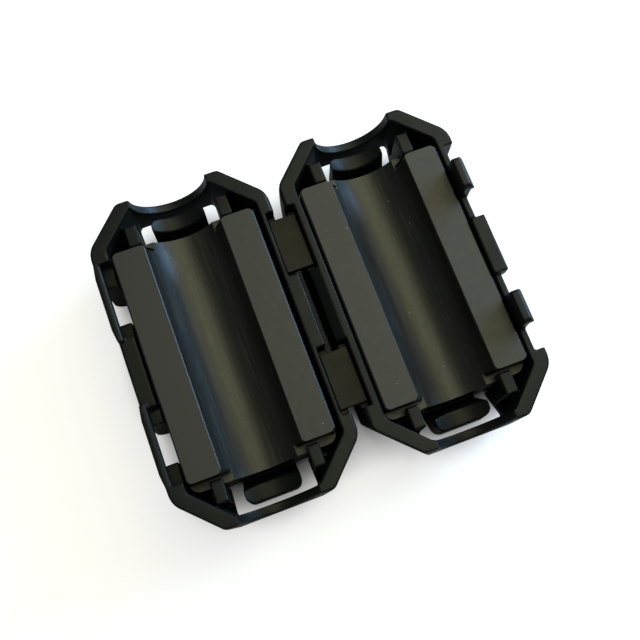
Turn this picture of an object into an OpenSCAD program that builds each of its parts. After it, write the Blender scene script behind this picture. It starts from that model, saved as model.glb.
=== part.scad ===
// Clip-on ferrite bead: a hinged two-shell snap case that clamps two half cores round a cable.
// Shown lying open and flat, both halves face up, on the plane z = 0.
// X runs across the pair of shells, Y along the cable and the hinge, Z up.
// The origin is midway between the two living hinges, on the plane the shells lie on.
// Every shell feature is drawn once in the shell's own axes: +X towards the hinge, -X towards
// the latch. The hook shell is the mirror image of that, so the two meet when folded shut.

/* [Cable] */
// Diameter of the hole that the closed cores leave for the cable
bore_d = 9; // [7.5:0.5:9.5]

/* [Ferrite core] */
// Length of each half core along the cable
core_len = 28.9; // [23:0.1:35]
// Width of each half core across the cable
core_w = 16.8; // [15:0.1:21]
// Height of one half core, from its back to its mating face
core_h = 8.6; // [7.5:0.1:11]
// Radius of the long back edges of a half core
core_back_r = 2.4; // [1:0.1:3]
// Rounding of the four upright corners of a half core
core_corner_r = 1.1; // [0.4:0.1:2]
// Length of the low shoulder at each end of a half core, which the fingers hold down
shoulder = 0.9; // [0.7:0.05:1.2]
// Depth of the shoulders below the mating face
shoulder_drop = 2.7; // [2.2:0.1:3.2]
// Rounding of the corners of the mating lands
land_r = 0.5; // [0.3:0.1:0.8]
// Chamfer along the edges of the mating face
core_edge = 0.22; // [0.1:0.02:0.4]
// How far the mating face stands above the case rim
core_proud = 0.1; // [0.05:0.05:0.2]

/* [Case] */
// Free space at each end between core and case end wall, which holds the grip
end_room = 3.75; // [3.5:0.05:5]
// Thickness of the end walls, which carry the cable notches
end_wall = 1.1; // [0.9:0.1:1.6]
// Thickness of the bevelled corner walls
bevel_wall = 1.7; // [1.3:0.1:2.2]
// Size of the bevels that cut the four corners of each shell
bevel = 4.5; // [3.5:0.1:5]
// Angle by which the bevelled corners lean in towards the bottom
bevel_lean = 8.5; // [4:0.5:9]
// Rounding where a long side turns into a bevel
side_r = 2.5; // [1:0.1:3]
// Rounding where a bevel turns into an end wall
end_r = 0.9; // [0.4:0.1:1.5]
// Thickness of the floor under the core
floor_t = 1.4; // [1:0.1:2]
// Rounding of the long bottom edges
back_r = 1.8; // [1.6:0.1:3]
// Height to which the bottom slopes up at each end wall
end_rise = 4.2; // [3:0.1:4.6]
// Length over which the bottom slopes up
end_slope = 4.4; // [4:0.1:5]
// Thickness of the sloping bottom at the ends
slope_t = 1.15; // [0.9:0.05:1.5]
// Rounding where the flat bottom turns into the slope
slope_r = 2; // [1:0.1:3]
// Rounding of the inner corners at the long sides
inner_side_r = 0.9; // [0.5:0.1:1.5]

/* [Side walls] */
// Gap between core and wall on the latch side
latch_gap = 0.3; // [0.2:0.05:0.5]
// Gap between core and wall on the hinge side of the loop shell
loop_hinge_gap = 0.6; // [0.3:0.05:0.9]
// Gap between core and wall on the hinge side of the hook shell
hook_hinge_gap = 0.25; // [0.2:0.05:0.6]
// Thickness of the wall on the hinge side of the loop shell
hinge_wall = 1.6; // [1.4:0.1:2]
// Thickness of the wall that carries the hooks
hook_wall = 0.8; // [0.6:0.1:1.2]

/* [Living hinge] */
// Distance between the two film lines of a strap
strap_len = 3; // [2.6:0.05:3.4]
// Thickness of a strap
strap_t = 0.75; // [0.55:0.05:0.9]
// Length of a strap along the hinge
strap_w = 6.5; // [5:0.1:8]
// Distance from the middle of the case to the nearer end of a strap
strap_start = 5.1; // [4.5:0.1:6]
// Half thickness of the film that bends
film_r = 0.18; // [0.12:0.02:0.24]
// Depth of the film line behind the outer face of the wall
film_inset = 0.85; // [0.6:0.05:0.9]
// Free gap between film and wall
film_gap = 0.07; // [0.05:0.01:0.12]
// How far each hinge pocket is longer than its strap, at each end
pocket_end = 0.7; // [0.3:0.05:0.8]
// Chamfer of the rims beside the hinge, which lets them pass each other
rim_edge = 0.3; // [0.3:0.05:0.5]
// Width of the sloped top of the hook shell between its two hinge pockets
crest_w = 1.1; // [0.8:0.1:1.4]
// Drop of that sloped top at the outer face
crest_drop = 0.7; // [0.6:0.05:0.9]
// Gap left between the two rims when shut
rim_gap = 0.3; // [0.25:0.05:0.4]

/* [Latch] */
// Distance of each latch from the middle of the case
latch_y = 8.3; // [7.5:0.1:9]
// Length of a hook
hook_len = 3.9; // [3:0.1:4.4]
// Thickness of a hook above the wall
hook_t = 1.05; // [0.8:0.05:1.2]
// How far the barb of a hook catches behind its loop
barb = 0.3; // [0.2:0.05:0.4]
// Height of the sloped head of a hook
hook_head = 1.2; // [1:0.05:1.6]
// Free play between a hook and its loop
latch_play = 0.15; // [0.1:0.05:0.25]
// Length of the window under a loop, beyond the hook, at each end
window_end = 0.3; // [0.2:0.05:0.5]
// Height of the bar of a loop
bar_h = 1.1; // [0.9:0.05:1.4]
// Thickness of the bar of a loop
bar_t = 0.95; // [0.8:0.05:1.2]
// Length over which the end of a loop is rooted in the wall beside the tab seat
bar_root = 0.5; // [0.4:0.05:0.7]
// Depth of the trough between a loop and the core
trough = 2; // [1.6:0.1:3]
// Half length of the gap in the wall that holds both latches
latch_reach = 13; // [12.6:0.1:13.4]
// Half length of the alignment tab between the hooks
tab_reach = 3.5; // [2.5:0.1:3.6]
// Height of the alignment tab above the rim
tab_rise = 0.4; // [0.2:0.05:0.5]
// Free room round the alignment tab in its seat
tab_room = 0.2; // [0.15:0.05:0.3]
// Depth of the alignment tab below the rim
tab_drop = 2.2; // [1.5:0.1:3]
// How far the alignment tab stops short of the width of the case
tab_back = 0.2; // [0:0.05:0.4]

/* [Cable grip] */
// Half width of a grip tongue
tongue_half = 3.25; // [2.5:0.05:3.4]
// Rounding of the two corners of a grip tongue
tongue_r = 0.9; // [0.5:0.1:1.2]
// Gap between the tip of a grip tongue and the end wall
tongue_gap = 0.65; // [0.5:0.05:1]
// Length of the raised lip of a grip tongue
lip_len = 1.6; // [1.2:0.1:1.8]
// Height of the corners of the lip below the mating face
lip_drop = 3.4; // [3.2:0.1:4]
// Clearance between the lip and the cable hole
lip_gap = 0.15; // [0.05:0.05:0.5]
// How far the slots run under the core
slot_under = 1.5; // [0.5:0.1:3]

/* [Core holders] */
// Gap between the cable hole and the holding fingers
finger_gap = 0.25; // [0.1:0.05:0.4]
// Size of a finger across the cable
finger_w = 1.45; // [1:0.05:1.6]
// Size of the post of a finger along the cable
finger_l = 1.9; // [1.5:0.1:2.1]
// Gap between the core ends and the posts of the fingers
finger_play = 0.2; // [0.15:0.05:0.3]
// Height left free above a finger, up to the rim
finger_drop = 0.7; // [0.3:0.05:1]
// Reach of a finger's head over the shoulder of the core
nib = 0.55; // [0.3:0.05:0.6]
// Width of the mould opening in the floor beside a finger
vent_w = 0.9; // [0.5:0.1:1.5]
// Length of that opening beyond the end of the core
vent_l = 0.55; // [0.3:0.05:0.8]

/* [Hidden] */
$fn = 96;
// Overshoot of a cut past the face it opens
over = 1;
// Overshoot of a cut that rounds a corner
spill = 0.2;
// Gap between the core and the floor it lies on
seat_gap = 0.1;
// Gap between the head of a finger and the shoulder below it
nib_gap = 0.12;
// How deep a feature that grows out of a wall is sunk into it
sunk = 0.1;
// Small inner and outer roundings of the mouldings
soft_r = 0.5;
fine_r = 0.15;
// Length of the ramp at each end of a loop
bar_ramp = 1.6;
// Length of the lead-in behind the lip of a grip tongue
lip_ramp = 1.2;
// Width of the flat on top of a hook, and how far its root reaches below the rim
hook_flat = 0.95;
hook_root = 2.8;
// Free depth below a strap in its pocket
pocket_room = 0.15;
// Distance over which a strap thins down to its film
film_taper = 0.45;

bore_r = bore_d / 2;
rim_z = floor_t + seat_gap + core_h - core_proud;
face_z = rim_z + core_proud;
shoulder_z = face_z - shoulder_drop;
land_end = core_len / 2 - shoulder;
case_half = core_w / 2 + loop_hinge_gap + hinge_wall;
case_end = core_len / 2 + end_room + end_wall;
inner_end = case_end - end_wall;
// A bevel is where x + y is constant, so each one is named by that sum
outer_sum = case_half + case_end - bevel;
inner_sum = outer_sum - bevel_wall * sqrt(2);
inner_lean = 0.4 * bevel_lean;
// Depth below the rim at which the bevelled corners begin to lean in
lean_start = 0.3;
latch_inner = core_w / 2 + latch_gap;
hook_outer = latch_inner + hook_wall;
film_x = case_half - film_inset;
pocket_x = film_x - film_r - film_gap;
film_z = rim_z - (strap_len - rim_gap) / 2;
strap_top = film_z + film_r;
pocket_z = strap_top - strap_t - pocket_room;
pocket_start = strap_start - pocket_end;
pocket_stop = strap_start + strap_w + pocket_end;
pitch = 2 * film_x + strap_len;
strap_mid = strap_start + strap_w / 2;
slope_rate = end_rise / end_slope;
slope_lift = slope_t * sqrt(1 + slope_rate * slope_rate);
slope_foot = case_end - end_slope;
inner_foot = slope_foot + (floor_t - slope_lift) / slope_rate;
finger_x = bore_r + finger_gap;
finger_y = core_len / 2 + finger_play;
finger_side = finger_x + finger_w;
tongue_end = inner_end - tongue_gap;
slot_start = core_len / 2 - slot_under;
hook_neck_x = latch_inner + hook_t;
bar_inner = hook_neck_x + latch_play;
barb_x = bar_inner + barb;
barb_z = rim_z + rim_gap + bar_h + latch_play;
hook_top = barb_z + hook_head;
bar_outer = bar_inner + bar_t;
// Height at which the hook begins to swell out of its wall
hook_swell_z = rim_z - 1.2;
window_half = hook_len / 2 + window_end;
// Where the trough of a loop begins, past the seat of the tab and the root of the loop
trough_start = tab_reach + tab_room + bar_root;

// Unit vector of a plane vector
function unit(v) = v / norm(v);

// Corners of the plan of a shell: lo and hi are its sides, end its half length, sum its bevels
function shell_corners(lo, hi, end, sum, r_side, r_end) = [
    [hi, sum - hi, r_side],
    [sum - end, end, r_end],
    [end - sum, end, r_end],
    [-lo, sum - lo, r_side],
    [-lo, lo - sum, r_side],
    [end - sum, -end, r_end],
    [sum - end, -end, r_end],
    [hi, hi - sum, r_side]
];

// What rounding takes off the corner "at", given as [x, y, radius], between its neighbours
module corner_waste(before, at, after) {
    corner = [at[0], at[1]];
    r = at[2];
    u = unit([before[0], before[1]] - corner);
    v = unit([after[0], after[1]] - corner);
    half = acos(u * v) / 2;
    middle = unit(u + v);
    centre = corner + middle * r / sin(half);
    difference() {
        polygon([
            corner + u * r / tan(half),
            corner - middle * spill,
            corner + v * r / tan(half),
            centre
        ]);
        translate(centre)
            circle(r = r);
    }
}

// An outline from corners [x, y, radius], where a radius of 0 leaves the corner sharp
module outline(corners) {
    n = len(corners);
    difference() {
        polygon([for (c = corners) [c[0], c[1]]]);
        for (i = [0 : n - 1])
            if (corners[i][2] > 0)
                corner_waste(corners[(i + n - 1) % n], corners[i], corners[(i + 1) % n]);
    }
}

// Extrudes a profile drawn in X and Z along Y, centred
module along_y(length) {
    translate([0, length / 2, 0])
        rotate([90, 0, 0])
            linear_extrude(length)
                children();
}

// Extrudes a profile drawn in Y and Z along X, centred
module along_x(length) {
    translate([-length / 2, 0, 0])
        rotate([90, 0, 90])
            linear_extrude(length)
                children();
}

// A box given by its two opposite corners
module block(from, to) {
    translate(from)
        cube(to - from);
}

// Places children at both ends of the case, the second mirrored
module both_ends() {
    children();
    mirror([0, 1, 0])
        children();
}

// Places children at both sides of the bore, the second mirrored
module both_sides() {
    children();
    mirror([1, 0, 0])
        children();
}

// What lies outside the four bevelled corners where they lean in below the rim
module lean_waste(sum, lean) {
    both_ends()
        both_sides()
            translate([sum / 2, sum / 2, rim_z - lean_start])
                rotate([0, lean, 45])
                    translate([0, -case_end, -2 * rim_z])
                        cube([case_half, 2 * case_end, 2 * rim_z]);
}

// The case body without any opening, before its corners lean in
module upright_body() {
    intersection() {
        linear_extrude(rim_z)
            outline(shell_corners(case_half, case_half, case_end, outer_sum, side_r, end_r));
        along_y(2 * case_end + over)
            outline([
                [-case_half, rim_z, 0],
                [-case_half, 0, back_r],
                [case_half, 0, back_r],
                [case_half, rim_z, 0]
            ]);
        along_x(2 * case_half + over)
            outline([
                [-case_end, rim_z, 0],
                [-case_end, end_rise, end_r],
                [-slope_foot, 0, slope_r],
                [slope_foot, 0, slope_r],
                [case_end, end_rise, end_r],
                [case_end, rim_z, 0]
            ]);
    }
}

// The case body without any opening
module shell_body() {
    difference() {
        upright_body();
        lean_waste(outer_sum, bevel_lean);
    }
}

// The space for the core, the fingers and the grips, before its corners lean in
module upright_cavity(hinge_inner) {
    slope_top = slope_lift + (inner_end - slope_foot) * slope_rate;
    inner_r = back_r - floor_t;
    intersection() {
        translate([0, 0, -over])
            linear_extrude(rim_z + 2 * over)
                outline(shell_corners(latch_inner, hinge_inner, inner_end, inner_sum,
                    inner_side_r, soft_r));
        along_y(2 * case_end)
            outline([
                [-latch_inner, rim_z + over, 0],
                [-latch_inner, floor_t, inner_r],
                [hinge_inner, floor_t, inner_r],
                [hinge_inner, rim_z + over, 0]
            ]);
        along_x(4 * case_half)
            polygon([
                [-inner_end - over, rim_z + over],
                [-inner_end - over, slope_top + over * slope_rate],
                [-inner_foot, floor_t],
                [inner_foot, floor_t],
                [inner_end + over, slope_top + over * slope_rate],
                [inner_end + over, rim_z + over]
            ]);
    }
}

// The space for the core, the fingers and the grips
module cavity(hinge_inner) {
    difference() {
        upright_cavity(hinge_inner);
        lean_waste(inner_sum, inner_lean);
    }
}

// Half-round notch for the cable in both end walls, on the axis of the bore
module cable_notches() {
    translate([0, 0, face_z])
        rotate([90, 0, 0])
            cylinder(r = bore_r, h = 2 * case_end + 2 * over, center = true);
}

// Plan of the free part of a grip tongue at the +Y end
module tongue_plan() {
    outline([
        [-tongue_half, slot_start, 0],
        [tongue_half, slot_start, 0],
        [tongue_half, tongue_end, tongue_r],
        [-tongue_half, tongue_end, tongue_r]
    ]);
}

// U-shaped slot that frees a grip tongue
module grip_slot() {
    translate([0, 0, -over])
        linear_extrude(rim_z)
            difference() {
                outline([
                    [-finger_x, slot_start, soft_r],
                    [finger_x, slot_start, soft_r],
                    [finger_x, inner_end, soft_r],
                    [-finger_x, inner_end, soft_r]
                ]);
                tongue_plan();
                // Leaves the tongue rooted in the floor
                translate([-tongue_half, slot_start - over])
                    square([2 * tongue_half, 2 * over]);
            }
}

// Raised lip on the tip of a grip tongue, hollowed on the line of the cable
module grip_lip() {
    lip_z = face_z - lip_drop;
    lip_y = tongue_end - lip_len;
    foot_y = lip_y - lip_ramp;
    // Underside of the lip, half way up the thickness of the sloping floor
    tip_z = (tongue_end - slope_foot) * slope_rate + slope_lift / 2;
    foot_z = (foot_y - slope_foot) * slope_rate + slope_lift / 2;
    difference() {
        intersection() {
            linear_extrude(rim_z)
                tongue_plan();
            along_x(2 * tongue_half + over)
                outline([
                    [foot_y, foot_z, 0],
                    [tongue_end, tip_z, 0],
                    [tongue_end, lip_z, 2 * fine_r],
                    [lip_y, lip_z, 2 * fine_r],
                    [foot_y, foot_z + slope_lift / 2, 0]
                ]);
        }
        translate([0, 0, face_z])
            rotate([90, 0, 0])
                cylinder(r = bore_r + lip_gap, h = 2 * case_end + 2 * over, center = true);
    }
}

// One upright finger, whose head reaches over the shoulder of the core and holds it down
module core_holder() {
    head_y = core_len / 2 - nib;
    back_y = finger_y + finger_l;
    top = rim_z - finger_drop;
    foot_z = (back_y - slope_foot) * slope_rate + slope_lift / 2;
    translate([finger_x + finger_w / 2, 0, 0])
        along_x(finger_w)
            outline([
                [finger_y, floor_t / 2, 0],
                [finger_y, shoulder_z + nib_gap, 0],
                [head_y, shoulder_z + nib_gap, 0],
                [head_y, top, 2 * fine_r],
                [back_y, top, fine_r],
                [back_y, foot_z, 0]
            ]);
}

// Openings in the floor under the head of a finger and beside its post, left by the mould
module mould_vents() {
    block([finger_x, slot_start, -over], [finger_side, finger_y, rim_z / 2]);
    block([finger_side - sunk, slot_start, -over],
        [finger_side + vent_w, core_len / 2 + vent_l, rim_z / 2]);
}

// Pocket in the hinge wall that takes a strap when the case is shut
module strap_pocket() {
    block([pocket_x, pocket_start, pocket_z], [case_half + over, pocket_stop, rim_z + over]);
}

// Chamfer of the rim beside the hinge, beyond the straps
module rim_relief() {
    translate([0, (pocket_stop + case_end) / 2, 0])
        along_y(case_end - pocket_stop + fine_r)
            polygon([
                [case_half - rim_edge, rim_z],
                [case_half - rim_edge, rim_z + over],
                [case_half + over, rim_z + over],
                [case_half + over, rim_z - rim_edge],
                [case_half, rim_z - rim_edge]
            ]);
}

// What the two shells have in common, with the hinge on +X
module shell(hinge_inner) {
    difference() {
        shell_body();
        cavity(hinge_inner);
        cable_notches();
        both_ends() {
            grip_slot();
            strap_pocket();
            rim_relief();
            both_sides()
                mould_vents();
        }
    }
    both_ends() {
        grip_lip();
        both_sides()
            core_holder();
    }
}

// Bar of a latch loop, bowed outwards, at the +Y latch
module loop_bar() {
    near = tab_reach + tab_room;
    far = latch_reach + sunk;
    intersection() {
        translate([0, 0, rim_z - bar_h])
            linear_extrude(bar_h)
                outline([
                    [-bar_inner, near, 0],
                    [-case_half, near, 0],
                    [-bar_outer, near + bar_ramp, 2],
                    [-bar_outer, far - bar_ramp, 2],
                    [-case_half, far, 0],
                    [-bar_inner, far, 0]
                ]);
        along_y(2 * case_end)
            outline([
                [-bar_inner, rim_z - bar_h, fine_r],
                [-bar_inner, rim_z, 2 * fine_r],
                [-bar_outer, rim_z, 2 * fine_r],
                [-bar_outer, rim_z - bar_h, fine_r]
            ]);
    }
}

// What is cut out of the latch wall of the loop shell: the low seat of the alignment tab, and at
// each end the trough beside the loop and the window below it
module latch_openings() {
    from_x = -case_half - over;
    to_x = sunk / 2 - latch_inner;
    block([from_x, -trough_start - over, rim_z - tab_rise - fine_r],
        [to_x, trough_start + over, rim_z + over]);
    both_ends() {
        block([from_x, trough_start, rim_z - trough], [to_x, latch_reach, rim_z + over]);
        block([from_x, latch_y - window_half, -over],
            [to_x, latch_y + window_half, rim_z + over]);
    }
}

// One snap hook, with a sloped head and a barb towards -X, at the +Y latch
module hook() {
    intersection() {
        translate([0, latch_y, 0])
            along_y(hook_len)
                outline([
                    [-latch_inner, rim_z - over, 0],
                    [-latch_inner, hook_top, fine_r],
                    [-latch_inner - hook_flat, hook_top, 3 * fine_r],
                    [-barb_x, barb_z + fine_r, fine_r / 2],
                    [-barb_x, barb_z, 0],
                    [-hook_neck_x, barb_z, 0],
                    [-hook_neck_x, hook_swell_z, 0],
                    [sunk - hook_outer, hook_swell_z - (hook_neck_x - hook_outer + sunk), 0],
                    [sunk - hook_outer, rim_z - hook_root, 0],
                    [-latch_inner - sunk, rim_z - hook_root, 0]
                ]);
        along_x(4 * case_half)
            outline([
                [latch_y - hook_len / 2, rim_z - 4, 0],
                [latch_y - hook_len / 2, hook_top, soft_r],
                [latch_y + hook_len / 2, hook_top, soft_r],
                [latch_y + hook_len / 2, rim_z - 4, 0]
            ]);
    }
}

// Alignment tab between the hooks, flush with the raised wall behind it, with a sloped underside
module tab() {
    tab_x = case_half - tab_back;
    along_y(2 * tab_reach)
        polygon([
            [-latch_inner, rim_z],
            [-latch_inner, rim_z + tab_rise],
            [-tab_x, rim_z + tab_rise],
            [-tab_x, rim_z - tab_drop + tab_x - hook_outer],
            [sunk - hook_outer, rim_z - tab_drop - sunk],
            [sunk - hook_outer, rim_z - sunk],
            [-latch_inner - sunk, rim_z - sunk]
        ]);
}

// The left shell, which carries the latch loops
module case_half_loops() {
    color([0.20, 0.22, 0.21])
        translate([-pitch / 2, 0, 0]) {
            difference() {
                shell(core_w / 2 + loop_hinge_gap);
                latch_openings();
            }
            both_ends()
                loop_bar();
        }
}

// What is cut off the walls of the hook shell: the outer part of the latch wall, and the slope
// between the two hinge pockets
module hook_shell_cuts() {
    fall = crest_drop / crest_w;
    block([-case_half - over, -latch_reach, -over], [-hook_outer, latch_reach, rim_z + over]);
    along_y(2 * pocket_start)
        polygon([
            [case_half - crest_w, rim_z],
            [case_half - crest_w, rim_z + over],
            [case_half + over, rim_z + over],
            [case_half + over, rim_z - crest_drop - fall * over]
        ]);
}

// The right shell, which carries the hooks and the alignment tab
module case_half_hooks() {
    color([0.20, 0.22, 0.21])
        translate([pitch / 2, 0, 0])
            mirror([1, 0, 0]) {
                difference() {
                    shell(core_w / 2 + hook_hinge_gap);
                    hook_shell_cuts();
                }
                both_ends()
                    hook();
                tab();
            }
}

// One strap of the living hinge, with a film bead along each bending line
module hinge_strap(middle_y) {
    color([0.21, 0.23, 0.22])
        translate([0, middle_y, film_z]) {
            along_y(strap_w)
                polygon([
                    [-strap_len / 2, film_r],
                    [strap_len / 2, film_r],
                    [strap_len / 2, -film_r],
                    [strap_len / 2 - film_taper, film_r - strap_t],
                    [film_taper - strap_len / 2, film_r - strap_t],
                    [-strap_len / 2, -film_r]
                ]);
            both_sides()
                translate([strap_len / 2, 0, 0])
                    rotate([90, 0, 0])
                        cylinder(r = film_r, h = strap_w, center = true);
        }
}

module hinge_strap_far() {
    hinge_strap(strap_mid);
}

module hinge_strap_near() {
    hinge_strap(-strap_mid);
}

// Plan of a half core that reaches half_l to either end
module core_plan(half_l, corner_r) {
    half_w = core_w / 2;
    outline([
        [-half_w, -half_l, corner_r],
        [half_w, -half_l, corner_r],
        [half_w, half_l, corner_r],
        [-half_w, half_l, corner_r]
    ]);
}

// One half core: a half-round channel between two flat lands, with a low shoulder at each end
module half_core(middle_x) {
    back = face_z - core_h;
    half_w = core_w / 2;
    color([0.27, 0.26, 0.24])
        translate([middle_x, 0, 0])
            difference() {
                intersection() {
                    along_y(core_len)
                        outline([
                            [-half_w, face_z - core_edge, 0],
                            [-half_w, back, core_back_r],
                            [half_w, back, core_back_r],
                            [half_w, face_z - core_edge, 0],
                            [half_w - core_edge, face_z, 0],
                            [core_edge - half_w, face_z, 0]
                        ]);
                    union() {
                        linear_extrude(shoulder_z)
                            core_plan(core_len / 2, core_corner_r);
                        // The lands, with the mouths of the channel widened at their ends
                        difference() {
                            linear_extrude(face_z + over)
                                core_plan(land_end, land_r);
                            both_ends()
                                translate([0, land_end - land_r, face_z])
                                    rotate([-90, 0, 0])
                                        cylinder(r1 = bore_r, r2 = bore_r + land_r + over,
                                            h = land_r + over);
                        }
                    }
                }
                translate([0, 0, face_z])
                    rotate([90, 0, 0])
                        cylinder(r = bore_r, h = core_len + 2 * over, center = true);
            }
}

module ferrite_half_left() {
    half_core(-pitch / 2);
}

module ferrite_half_right() {
    half_core(pitch / 2);
}

case_half_loops();
case_half_hooks();
hinge_strap_far();
hinge_strap_near();
ferrite_half_left();
ferrite_half_right();
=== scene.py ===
import logging
import math
from dataclasses import dataclass, field
from enum import Enum
from typing import Any

import bmesh
import bpy
from mathutils import Matrix, Vector


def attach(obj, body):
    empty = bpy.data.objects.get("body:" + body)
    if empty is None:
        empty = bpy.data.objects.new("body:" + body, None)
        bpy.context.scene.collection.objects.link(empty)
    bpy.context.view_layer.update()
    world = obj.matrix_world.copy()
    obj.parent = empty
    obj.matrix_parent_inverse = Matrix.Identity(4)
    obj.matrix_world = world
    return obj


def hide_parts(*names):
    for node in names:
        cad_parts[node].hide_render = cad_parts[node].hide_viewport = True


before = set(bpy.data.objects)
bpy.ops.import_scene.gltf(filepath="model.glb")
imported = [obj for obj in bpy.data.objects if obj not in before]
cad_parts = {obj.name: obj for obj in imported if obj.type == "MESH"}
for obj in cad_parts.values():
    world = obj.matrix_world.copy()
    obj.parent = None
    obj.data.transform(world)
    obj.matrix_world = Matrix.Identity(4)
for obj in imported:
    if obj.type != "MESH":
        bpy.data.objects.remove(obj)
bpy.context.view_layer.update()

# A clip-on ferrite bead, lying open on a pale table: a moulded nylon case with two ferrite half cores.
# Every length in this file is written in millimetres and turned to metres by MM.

MM = 0.001
LOG = logging.getLogger("ferrite_bead")
# The part of a noise texture's range that the gloss follows
NOISE_LOW, NOISE_HIGH = 0.3, 0.7
BUMP_STRENGTH = 0.5
# Weight of the weighted normals, which keep flat faces flat beside their worn edges
NORMAL_WEIGHT = 80
# Distance of the middle of each core from the line midway between the film hinges, where x is 0
CORE_MIDDLE = 11.25


class Half(Enum):
    """The two halves of the clip, named for what their latch side carries."""

    LOOPS = "loop_half"
    HOOKS = "hook_half"


class Slot(Enum):
    """The two materials that the part is made of, as the record names them."""

    PLASTIC = "case_plastic"
    FERRITE = "ferrite_ceramic"


def linear(colour: str) -> tuple[float, float, float, float]:
    """Turns an sRGB hex colour to the linear values a shader takes, by the standard sRGB curve.

    Args:
        colour: six hex digits, such as "2b302f".

    Returns:
        Red, green and blue from 0 to 1, and an alpha of 1.
    """
    parts = [int(colour[i:i + 2], 16) / 255 for i in (0, 2, 4)]
    red, green, blue = (c / 12.92 if c <= 0.04045 else ((c + 0.055) / 1.055) ** 2.4 for c in parts)
    return red, green, blue, 1.0


def add_node(tree: bpy.types.NodeTree, kind: str, links: dict[str | int, Any] | None = None,
             **settings: Any) -> bpy.types.Node:
    """Adds a shader node with its settings, input values and incoming links.

    Args:
        tree: the node tree to add to.
        kind: the node's type name, such as "ShaderNodeTexNoise".
        links: input name or index to an output socket to link from, or to a plain value.
        **settings: attributes of the node itself.

    Returns:
        The new node.
    """
    node = tree.nodes.new(kind)
    for name, value in settings.items():
        setattr(node, name, value)
    for name, value in (links or {}).items():
        socket = node.inputs[name]
        if isinstance(value, bpy.types.NodeSocket):
            tree.links.new(value, socket)
        else:
            socket.default_value = value
    return node


def add_piece(name: str, mesh: bpy.types.Mesh, body: str, slot: Slot, *replaced: str) -> bpy.types.Object:
    """Puts a mesh in the scene as a piece that moves with a body.

    Args:
        name: name of the new piece.
        mesh: its mesh, in the shared frame.
        body: the body that it moves with.
        slot: the material slot of the record that it belongs to; not used.
        *replaced: the CAD nodes that it stands for.

    Returns:
        The new object.
    """
    piece = bpy.data.objects.new(name, mesh)
    bpy.context.scene.collection.objects.link(piece)
    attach(piece, body)
    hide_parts(*replaced)
    return piece


def new_material(name: str) -> tuple[bpy.types.Material, bpy.types.NodeTree, bpy.types.Node]:
    """Makes an empty node material with only its output.

    Args:
        name: name of the material.

    Returns:
        The material, its node tree and its output node.
    """
    material = bpy.data.materials.new(name)
    material.use_nodes = True
    tree = material.node_tree
    tree.nodes.clear()
    return material, tree, tree.nodes.new("ShaderNodeOutputMaterial")


@dataclass(frozen=True)
class MouldedNylon:
    """Black polyamide 66, injection moulded in a spark-eroded tool.

    It gives the eye a satin black with soft broad highlights and faint flow clouds. The grain of such a
    tool is typically below 0.1 mm, too fine to show, so it is drawn coarser than real, at 0.16 mm. The
    size of the flow clouds is chosen.
    """

    name: str = "moulded_nylon"
    body: str = "0c1211"
    flow: str = "121817"
    grain: float = 0.16
    flow_size: float = 5.0
    roughness: tuple[float, float] = (0.36, 0.5)
    bump: float = 0.006
    ior: float = 1.53
    specular: float = 0.3

    def material(self) -> bpy.types.Material:
        """Builds the material: slow flow clouds in colour and gloss, and the tool's grain as a bump.

        Returns:
            The finished material.
        """
        material, tree, out = new_material(self.name)
        place = add_node(tree, "ShaderNodeTexCoord").outputs["Object"]
        clouds = add_node(tree, "ShaderNodeTexNoise", {
            "Vector": place, "Scale": 1 / (self.flow_size * MM), "Detail": 3.0, "Roughness": 0.55})
        grain = add_node(tree, "ShaderNodeTexNoise", {
            "Vector": place, "Scale": 1 / (self.grain * MM), "Detail": 2.0, "Roughness": 0.6})
        colour = add_node(tree, "ShaderNodeMix", {
            0: clouds.outputs["Fac"], 6: linear(self.body), 7: linear(self.flow)}, data_type="RGBA")
        gloss = add_node(tree, "ShaderNodeMapRange", {
            "Value": clouds.outputs["Fac"], "From Min": NOISE_LOW, "From Max": NOISE_HIGH,
            "To Min": self.roughness[0], "To Max": self.roughness[1]})
        bump = add_node(tree, "ShaderNodeBump", {
            "Height": grain.outputs["Fac"], "Strength": BUMP_STRENGTH, "Distance": self.bump * MM})
        shader = add_node(tree, "ShaderNodeBsdfPrincipled", {
            "Base Color": colour.outputs[2], "Roughness": gloss.outputs["Result"],
            "IOR": self.ior, "Specular IOR Level": self.specular, "Normal": bump.outputs["Normal"]})
        tree.links.new(shader.outputs["BSDF"], out.inputs["Surface"])
        return material


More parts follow.
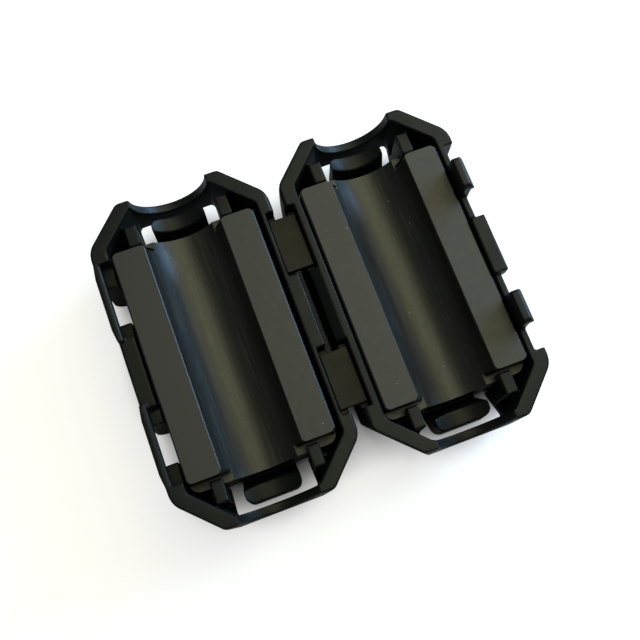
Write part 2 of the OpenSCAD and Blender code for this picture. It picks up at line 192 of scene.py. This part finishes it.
@dataclass(frozen=True)
class Ferrite:
    """Ferrite ceramic, pressed from powder and sintered, and ground on the lands.

    It gives the eye a hard grey-olive ceramic: the sintered skin is dark and slightly glossy, and a
    ground face is paler and more matt. What shows is the texture of the pressed powder, typically about
    0.1 mm, drawn a little coarser than real at 0.14 mm. The sizes of the mottle, of the lines and of the
    dust are chosen.
    """

    name: str
    body: str
    mottle: str
    roughness: tuple[float, float]
    streak: str | None = None
    streak_size: tuple[float, float] = (0.3, 9.0)
    streak_range: tuple[float, float] = (0.5, 0.7)
    mottle_size: float = 0.7
    grain: float = 0.14
    bump: float = 0.004
    dust: str = "83867a"
    dust_radius: float = 0.09
    dust_spacing: float = 1.3
    dust_share: float = 0.12
    ior: float = 1.75

    def material(self) -> bpy.types.Material:
        """Builds the material: mottled colour, grain as a bump, and a few pale specks of dust.

        Returns:
            The finished material.
        """
        material, tree, out = new_material(self.name)
        place = add_node(tree, "ShaderNodeTexCoord").outputs["Object"]
        mottle = add_node(tree, "ShaderNodeTexNoise", {
            "Vector": place, "Scale": 1 / (self.mottle_size * MM), "Detail": 4.0, "Roughness": 0.65})
        grain = add_node(tree, "ShaderNodeTexNoise", {
            "Vector": place, "Scale": 1 / (self.grain * MM), "Detail": 3.0, "Roughness": 0.7})
        colour = add_node(tree, "ShaderNodeMix", {
            0: mottle.outputs["Fac"], 6: linear(self.body), 7: linear(self.mottle)}, data_type="RGBA")
        tint = colour.outputs[2]
        if self.streak:
            # Faint lines along the channel, such as a press tool may leave
            across, along = (1 / (size * MM) for size in self.streak_size)
            drawn = add_node(tree, "ShaderNodeMapping", {"Vector": place, "Scale": (across, along, across)})
            lines = add_node(tree, "ShaderNodeTexNoise", {
                "Vector": drawn.outputs["Vector"], "Scale": 1.0, "Detail": 3.0, "Roughness": 0.6})
            drawn_lines = add_node(tree, "ShaderNodeMapRange", {
                "Value": lines.outputs["Fac"], "From Min": self.streak_range[0],
                "From Max": self.streak_range[1], "To Max": 1.0})
            tint = add_node(tree, "ShaderNodeMix", {
                0: drawn_lines.outputs["Result"], 6: tint, 7: linear(self.streak)}, data_type="RGBA").outputs[2]
        cells = add_node(tree, "ShaderNodeTexVoronoi", {
            "Vector": place, "Scale": 1 / (self.dust_spacing * MM), "Randomness": 1.0})
        # A speck lies at the middle of a few of the cells, so its radius is a share of their spacing
        speck = add_node(tree, "ShaderNodeMath", {
            0: cells.outputs["Distance"], 1: self.dust_radius / self.dust_spacing}, operation="LESS_THAN")
        few = add_node(tree, "ShaderNodeSeparateColor", {0: cells.outputs["Color"]})
        chosen = add_node(tree, "ShaderNodeMath", {
            0: few.outputs["Red"], 1: 1 - self.dust_share}, operation="GREATER_THAN")
        dust = add_node(tree, "ShaderNodeMath", {
            0: speck.outputs[0], 1: chosen.outputs[0]}, operation="MULTIPLY")
        dusty = add_node(tree, "ShaderNodeMix", {
            0: dust.outputs[0], 6: tint, 7: linear(self.dust)}, data_type="RGBA")
        gloss = add_node(tree, "ShaderNodeMapRange", {
            "Value": mottle.outputs["Fac"], "From Min": NOISE_LOW, "From Max": NOISE_HIGH,
            "To Min": self.roughness[0], "To Max": self.roughness[1]})
        bump = add_node(tree, "ShaderNodeBump", {
            "Height": grain.outputs["Fac"], "Strength": BUMP_STRENGTH, "Distance": self.bump * MM})
        shader = add_node(tree, "ShaderNodeBsdfPrincipled", {
            "Base Color": dusty.outputs[2], "Roughness": gloss.outputs["Result"], "IOR": self.ior,
            "Normal": bump.outputs["Normal"]})
        tree.links.new(shader.outputs["BSDF"], out.inputs["Surface"])
        return material


@dataclass
class Moulding:
    """A copy of a moulded CAD node whose sharp edges are worn to the small radius every mould leaves.

    Attributes:
        node: the CAD node that it copies and stands for.
        body: the body that it moves with.
        finish: its material.
        voxel: size of the cells that it is remeshed in.
        rounds: how many times the edges are smoothed.
        softness: how much each round smooths them.
        keep: share of the faces that is left in the end.
    """

    node: str
    body: str
    finish: bpy.types.Material
    voxel: float = 0.12
    rounds: int = 6
    softness: float = 0.5
    keep: float = 0.1

    def mesh(self) -> bpy.types.Mesh:
        """Remeshes the node finely, smooths its edges and thins the flat parts out again.

        Returns:
            The worn copy of the node's mesh, in the moulding's finish.
        """
        source = bpy.data.objects[self.node]
        work = bpy.data.objects.new(self.node + "_work", source.data.copy())
        bpy.context.scene.collection.objects.link(work)
        fine = work.modifiers.new("fine", "REMESH")
        fine.mode = "VOXEL"
        fine.voxel_size = self.voxel * MM
        soft = work.modifiers.new("soft", "SMOOTH")
        soft.factor = self.softness
        soft.iterations = self.rounds
        thin = work.modifiers.new("thin", "DECIMATE")
        thin.ratio = self.keep
        even = work.modifiers.new("even", "WEIGHTED_NORMAL")
        even.weight = NORMAL_WEIGHT
        graph = bpy.context.evaluated_depsgraph_get()
        mesh = bpy.data.meshes.new_from_object(work.evaluated_get(graph))
        mesh.name = self.node + "_moulded"
        bpy.data.objects.remove(work)
        mesh.shade_smooth()
        mesh.materials.clear()
        mesh.materials.append(self.finish)
        return mesh

    def build(self) -> bpy.types.Object:
        """Adds the moulding in place of its CAD node."""
        return add_piece(self.node + "_moulding", self.mesh(), self.body, Slot.PLASTIC, self.node)


@dataclass
class HalfCore:
    """A ferrite half core: a half-round channel between two ground lands, with a low shoulder at each end.

    Attributes:
        node: the CAD node that it stands for.
        half: the half of the clip that holds it.
        middle: place of its middle across the part.
        land_finish: material of the ground lands.
        skin_finish: material of everything else.
        length, width, height: its outside sizes.
        face: height of the lands above the table.
        bore: radius of the channel.
        shoulder: length of the low shoulder at each end.
        shoulder_drop: how far the shoulders lie below the lands.
        land_corner: radius of the lands' corners, seen from above.
        core_corner: radius of the core's own corners, seen from above.
        back_corner: radius of the long edges of the back.
        chamfer: width of the chamfer on the outer long edge of a land.
        bore_chamfer: width of the chamfer on the edge between a land and the channel.
        edge: how far the wear reaches from each sharp edge, those of the chamfers among them.
        arc_steps, wall_steps, back_steps, end_steps, edge_steps: how finely the curves are divided.
        merge: distance within which points are made one.
        flat_angle: bend in degrees below which two faces are made one.
        sharp_angle: bend in degrees above which an edge is worn.
        level_normal, level_play: how level and how high a face is that counts as ground.
    """

    node: str
    half: Half
    middle: float
    land_finish: bpy.types.Material
    skin_finish: bpy.types.Material
    length: float = 28.9
    width: float = 16.8
    height: float = 8.6
    face: float = 10.1
    bore: float = 4.5
    shoulder: float = 0.9
    shoulder_drop: float = 2.7
    land_corner: float = 0.5
    core_corner: float = 1.1
    back_corner: float = 2.4
    chamfer: float = 0.17
    bore_chamfer: float = 0.1
    edge: float = 0.08
    arc_steps: int = 40
    wall_steps: int = 14
    back_steps: int = 12
    end_steps: int = 8
    edge_steps: int = 3
    merge: float = 0.002
    flat_angle: float = 0.2
    sharp_angle: float = 28.0
    level_normal: float = 0.999
    level_play: float = 0.01

    def loop(self, y: float, low_w: float, top_w: float, top_r: float, raised: bool) -> list[Vector]:
        """Lists the points of the core's outline at one place along it.

        Args:
            y: the place along the core.
            low_w: half the width of the core below the shoulders.
            top_w: half the width of the core above the shoulders.
            top_r: radius of the channel above the shoulders.
            raised: whether the lands stand here; otherwise the outline ends at the shoulders.

        Returns:
            The points from the middle of the channel round to the middle of the back, on the +X side.
        """
        step = self.face - self.shoulder_drop
        back = self.face - self.height
        low_end = math.acos(self.shoulder_drop / self.bore)
        points = [(self.bore * math.sin(a), self.face - self.bore * math.cos(a))
                  for a in (low_end * i / self.arc_steps for i in range(self.arc_steps + 1))]
        shelf_x = points[-1][0]
        wall: list[tuple[float, float]] = []
        top_start, top_end = math.acos(self.shoulder_drop / top_r), math.acos(self.bore_chamfer / top_r)
        for i in range(self.wall_steps + 1):
            a = top_start + (top_end - top_start) * i / self.wall_steps
            wall.append((top_r * math.sin(a), self.face - top_r * math.cos(a)))
        wall.append((top_r + self.bore_chamfer, self.face))
        wall += [(top_w - self.chamfer, self.face), (top_w, self.face - self.chamfer), (top_w, step)]
        # Every outline has the same number of points, so past the lands the spare ones lie on the shoulder
        points += wall if raised else [(shelf_x, step)] * (self.wall_steps + 2) + [(low_w, step)] * 3
        points.append((low_w, step))
        corner = self.back_corner
        for i in range(self.back_steps + 1):
            a = math.pi / 2 * i / self.back_steps
            points.append((low_w - corner + corner * math.cos(a), back + corner - corner * math.sin(a)))
        points.append((0.0, back))
        return [Vector((x, y, z)) * MM for x, z in points]

    def stations(self) -> list[list[Vector]]:
        """Lists the outlines along the core, from its -Y end to its +Y end.

        Returns:
            One list of points for each place along the core.
        """
        half_w, land_end, end = self.width / 2, self.length / 2 - self.shoulder, self.length / 2
        half: list[list[Vector]] = []
        for i in range(self.end_steps + 1):
            a = math.pi / 2 * i / self.end_steps
            low_w = half_w - self.core_corner * (1 - math.cos(a))
            y = end - self.core_corner * (1 - math.sin(a))
            if y > land_end:
                half.append(self.loop(y, low_w, low_w, self.bore, False))
        low_w = half_w - self.core_corner + math.sqrt(
            self.core_corner ** 2 - (self.core_corner - self.shoulder) ** 2)
        inner: list[list[Vector]] = [self.loop(land_end, low_w, low_w, self.bore, False)]
        for i in range(self.end_steps + 1):
            a = math.pi / 2 * i / self.end_steps
            cut = self.land_corner * (1 - math.sin(a))
            y = land_end - self.land_corner * (1 - math.cos(a))
            dy = y - (end - self.core_corner)
            width = half_w if dy <= 0 else half_w - self.core_corner + math.sqrt(self.core_corner ** 2 - dy ** 2)
            inner.append(self.loop(y, width, min(width, half_w - cut), self.bore + cut, True))
        outer_to_middle = list(reversed(half)) + inner
        mirrored = [[Vector((p.x, -p.y, p.z)) for p in ring] for ring in outer_to_middle]
        return mirrored + list(reversed(outer_to_middle))

    def mesh(self) -> bpy.types.Mesh:
        """Skins the outlines, caps the ends, wears the edges and gives the lands their ground finish.

        Returns:
            The core's mesh, with the ground finish first and the sintered skin second.
        """
        bm = bmesh.new()
        rings = []
        for outline in self.stations():
            mirrored = [Vector((-p.x, p.y, p.z)) for p in outline[1:-1]]
            ring = outline + list(reversed(mirrored))
            rings.append([bm.verts.new(p) for p in ring])
        count = len(rings[0])
        for one, two in zip(rings, rings[1:]):
            for i in range(count):
                j = (i + 1) % count
                bm.faces.new((one[i], one[j], two[j], two[i]))
        bm.faces.new(rings[0])
        bm.faces.new(list(reversed(rings[-1])))
        bmesh.ops.remove_doubles(bm, verts=bm.verts, dist=self.merge * MM)
        bmesh.ops.dissolve_degenerate(bm, dist=self.merge * MM, edges=bm.edges)
        bmesh.ops.dissolve_limit(bm, angle_limit=math.radians(self.flat_angle), verts=bm.verts, edges=bm.edges)
        bmesh.ops.recalc_face_normals(bm, faces=bm.faces)
        sharp = [e for e in bm.edges if e.is_manifold and e.calc_face_angle(0) > math.radians(self.sharp_angle)]
        bmesh.ops.bevel(bm, geom=sharp, offset=self.edge * MM, segments=self.edge_steps,
                        profile=0.5, affect="EDGES", clamp_overlap=True)
        bmesh.ops.translate(bm, verts=bm.verts, vec=Vector((self.middle * MM, 0, 0)))
        for face in bm.faces:
            face.smooth = True
            ground = (face.normal.z > self.level_normal
                      and face.calc_center_median().z > (self.face - self.level_play) * MM)
            face.material_index = 0 if ground else 1
        mesh = bpy.data.meshes.new(self.node + "_sintered")
        bm.to_mesh(mesh)
        bm.free()
        mesh.materials.append(self.land_finish)
        mesh.materials.append(self.skin_finish)
        return mesh

    def build(self) -> bpy.types.Object:
        """Adds the core in place of its CAD node."""
        piece = add_piece(self.node + "_sintered", self.mesh(), self.half.value, Slot.FERRITE, self.node)
        even = piece.modifiers.new("even", "WEIGHTED_NORMAL")
        even.weight = NORMAL_WEIGHT
        return piece


@dataclass
class Lamp:
    """One soft rectangular lamp that shines at the frame's origin, under the hinge.

    Attributes:
        name: name of the lamp.
        place: where it stands.
        size: its length and width.
        power: its power in watts.
        colour: colour of its light, as six hex digits.
    """

    name: str
    place: tuple[float, float, float]
    size: tuple[float, float]
    power: float
    colour: str

    def build(self) -> bpy.types.Object:
        """Adds the lamp."""
        light = bpy.data.lights.new(self.name, "AREA")
        light.shape = "RECTANGLE"
        light.size, light.size_y = (s * MM for s in self.size)
        light.energy = self.power
        light.color = linear(self.colour)[:3]
        lamp = bpy.data.objects.new(self.name, light)
        lamp.location = Vector(self.place) * MM
        lamp.rotation_euler = lamp.location.to_track_quat("Z", "Y").to_euler()
        bpy.context.scene.collection.objects.link(lamp)
        return lamp


@dataclass
class Studio:
    """A pale table under soft lamps, and the camera above it.

    Attributes:
        floor_size: length of the table's sides.
        floor_colour, floor_roughness, floor_specular: its finish.
        painted_nook_shade: painted shade, the dark colour that the table's colour is mixed towards inside the
            part's slots.
        floor_lift, far_lift: how far it is lifted towards white, near the part and far from it.
        lift_reach: the distances from the origin between which the lift grows.
        nook: how far off a wall still shades the table.
        nook_range: the shares of open sky at which the table counts as shut in and as open.
        nook_samples: how finely that is measured.
        camera_place, camera_turn: where the camera is, and its turns in radians.
        camera_near: the nearest distance that it sees.
        lens: its focal length.
        world_level: strength of the even light of the room.
        lamps: the lamps.
    """

    floor_size: float = 3000.0
    floor_colour: str = "f2f2f0"
    # Painted shade: the dark colour that the table is given inside the part's slots
    painted_nook_shade: str = "2c2d2a"
    floor_roughness: float = 0.6
    floor_specular: float = 0.2
    floor_lift: float = 0.7
    far_lift: float = 0.95
    lift_reach: tuple[float, float] = (60.0, 500.0)
    nook: float = 7.0
    nook_range: tuple[float, float] = (0.15, 0.7)
    nook_samples: int = 24
    camera_place: tuple[float, float, float] = (-9.684, -23.04, 102.03)
    camera_turn: tuple[float, float, float] = (0.24897, -0.01459, -0.35599)
    camera_near: float = 10.0
    lens: float = 48.4
    world_level: float = 0.12
    lamps: list[Lamp] = field(default_factory=lambda: [
        Lamp("overhead", (114, 90, 260), (200, 380), 0.38, "f9f6c8"),
        Lamp("right_side", (470, 120, 235), (420, 180), 0.6, "aed6ff"),
        Lamp("low_window", (580, 200, 220), (420, 110), 3.0, "9cccff"),
    ])

    def floor(self) -> None:
        """Adds the table top, in white laminate.

        It gives the eye a plain pale matt surface, with a soft shadow round the part. Inside its slots the
        table carries painted shade: ambient occlusion darkens its colour and holds back its lift towards white.
        """
        material, tree, out = new_material("white_laminate")
        seen = add_node(tree, "ShaderNodeLightPath").outputs["Is Camera Ray"]
        open_sky = add_node(tree, "ShaderNodeAmbientOcclusion", {"Distance": self.nook * MM},
                            samples=self.nook_samples)
        clear = add_node(tree, "ShaderNodeMapRange", {
            "Value": open_sky.outputs["AO"],
            "From Min": self.nook_range[0], "From Max": self.nook_range[1]})
        # Painted shade: where ambient occlusion finds the table shut in, its colour is darkened towards the
        # nook's dark colour
        shade = add_node(tree, "ShaderNodeMix", {
            0: clear.outputs[0], 6: linear(self.painted_nook_shade), 7: linear(self.floor_colour)}, data_type="RGBA")
        paint = add_node(tree, "ShaderNodeBsdfPrincipled", {
            "Base Color": shade.outputs[2], "Roughness": self.floor_roughness,
            "Specular IOR Level": self.floor_specular})
        # For the camera only, the open table is lifted towards white; in the slots the occlusion holds the lift
        # back, so they stay dim as painted shade
        strength = add_node(tree, "ShaderNodeMath", {0: seen, 1: clear.outputs[0]}, operation="MULTIPLY")
        reach = add_node(tree, "ShaderNodeVectorMath", {
            0: add_node(tree, "ShaderNodeTexCoord").outputs["Object"]}, operation="LENGTH")
        level = add_node(tree, "ShaderNodeMapRange", {
            "Value": reach.outputs["Value"],
            "From Min": self.lift_reach[0] * MM, "From Max": self.lift_reach[1] * MM,
            "To Min": self.floor_lift, "To Max": self.far_lift})
        lifted = add_node(tree, "ShaderNodeMath", {
            0: strength.outputs[0], 1: level.outputs["Result"]}, operation="MULTIPLY")
        lift = add_node(tree, "ShaderNodeEmission", {"Strength": lifted.outputs[0]})
        both = add_node(tree, "ShaderNodeAddShader", {0: paint.outputs[0], 1: lift.outputs[0]})
        tree.links.new(both.outputs[0], out.inputs["Surface"])
        mesh = bpy.data.meshes.new("table")
        s = self.floor_size / 2 * MM
        mesh.from_pydata([(-s, -s, 0), (s, -s, 0), (s, s, 0), (-s, s, 0)], [], [(0, 1, 2, 3)])
        mesh.materials.append(material)
        table = bpy.data.objects.new("table", mesh)
        bpy.context.scene.collection.objects.link(table)

    def world(self) -> None:
        """Sets the even light of the room, which the camera sees as white."""
        world = bpy.data.worlds.new("room")
        bpy.context.scene.world = world
        world.use_nodes = True
        tree = world.node_tree
        tree.nodes.clear()
        seen = add_node(tree, "ShaderNodeLightPath").outputs["Is Camera Ray"]
        level = add_node(tree, "ShaderNodeMapRange", {"Value": seen, "To Min": self.world_level, "To Max": 1.0})
        light = add_node(tree, "ShaderNodeBackground", {
            "Color": (1.0, 1.0, 1.0, 1.0), "Strength": level.outputs["Result"]})
        out = add_node(tree, "ShaderNodeOutputWorld")
        tree.links.new(light.outputs[0], out.inputs["Surface"])

    def camera(self) -> None:
        """Adds the camera, above and a little in front of the open halves."""
        data = bpy.data.cameras.new("camera")
        data.lens = self.lens
        data.clip_start = self.camera_near * MM
        camera = bpy.data.objects.new("camera", data)
        turn_x, turn_y, turn_z = self.camera_turn
        camera.matrix_world = (Matrix.Translation(Vector(self.camera_place) * MM)
                               @ Matrix.Rotation(turn_z, 4, "Z") @ Matrix.Rotation(turn_x, 4, "X")
                               @ Matrix.Rotation(turn_y, 4, "Y"))
        bpy.context.scene.collection.objects.link(camera)
        bpy.context.scene.camera = camera

    def build(self) -> None:
        """Sets the whole studio up."""
        bpy.context.scene.view_settings.view_transform = "Standard"
        self.floor()
        self.world()
        self.camera()
        for lamp in self.lamps:
            lamp.build()


def report(piece: bpy.types.Object) -> None:
    """Logs the name and the number of faces of a finished piece."""
    LOG.info("%s: %d faces", piece.name, len(piece.data.polygons))


def main() -> None:
    """Builds the studio and the part in order and reports each piece."""
    logging.basicConfig(level=logging.INFO, format="%(name)s %(message)s")
    Studio().build()
    nylon = MouldedNylon().material()
    # The straps are the same nylon, in a copy painted slightly paler and warmer: a painted tint for the warm
    # light that falls on them
    strap_lit_nylon = MouldedNylon("strap_nylon_painted_light", body="12130c", flow="181912").material()
    land = Ferrite("ground_ferrite", body="22211b", mottle="2e2c24", roughness=(0.48, 0.56)).material()
    skin = Ferrite("sintered_ferrite", body="11130e", mottle="181a13", roughness=(0.4, 0.48),
                   streak="35372c").material()
    report(Moulding("case_half_loops", Half.LOOPS.value, nylon).build())
    report(Moulding("case_half_hooks", Half.HOOKS.value, nylon).build())
    for strap in ("hinge_strap_far", "hinge_strap_near"):
        report(Moulding(strap, "hinge_straps", strap_lit_nylon, voxel=0.06, rounds=3).build())
    report(HalfCore("ferrite_half_left", Half.LOOPS, -CORE_MIDDLE, land, skin).build())
    report(HalfCore("ferrite_half_right", Half.HOOKS, CORE_MIDDLE, land, skin).build())


if __name__ == "__main__":
    main()
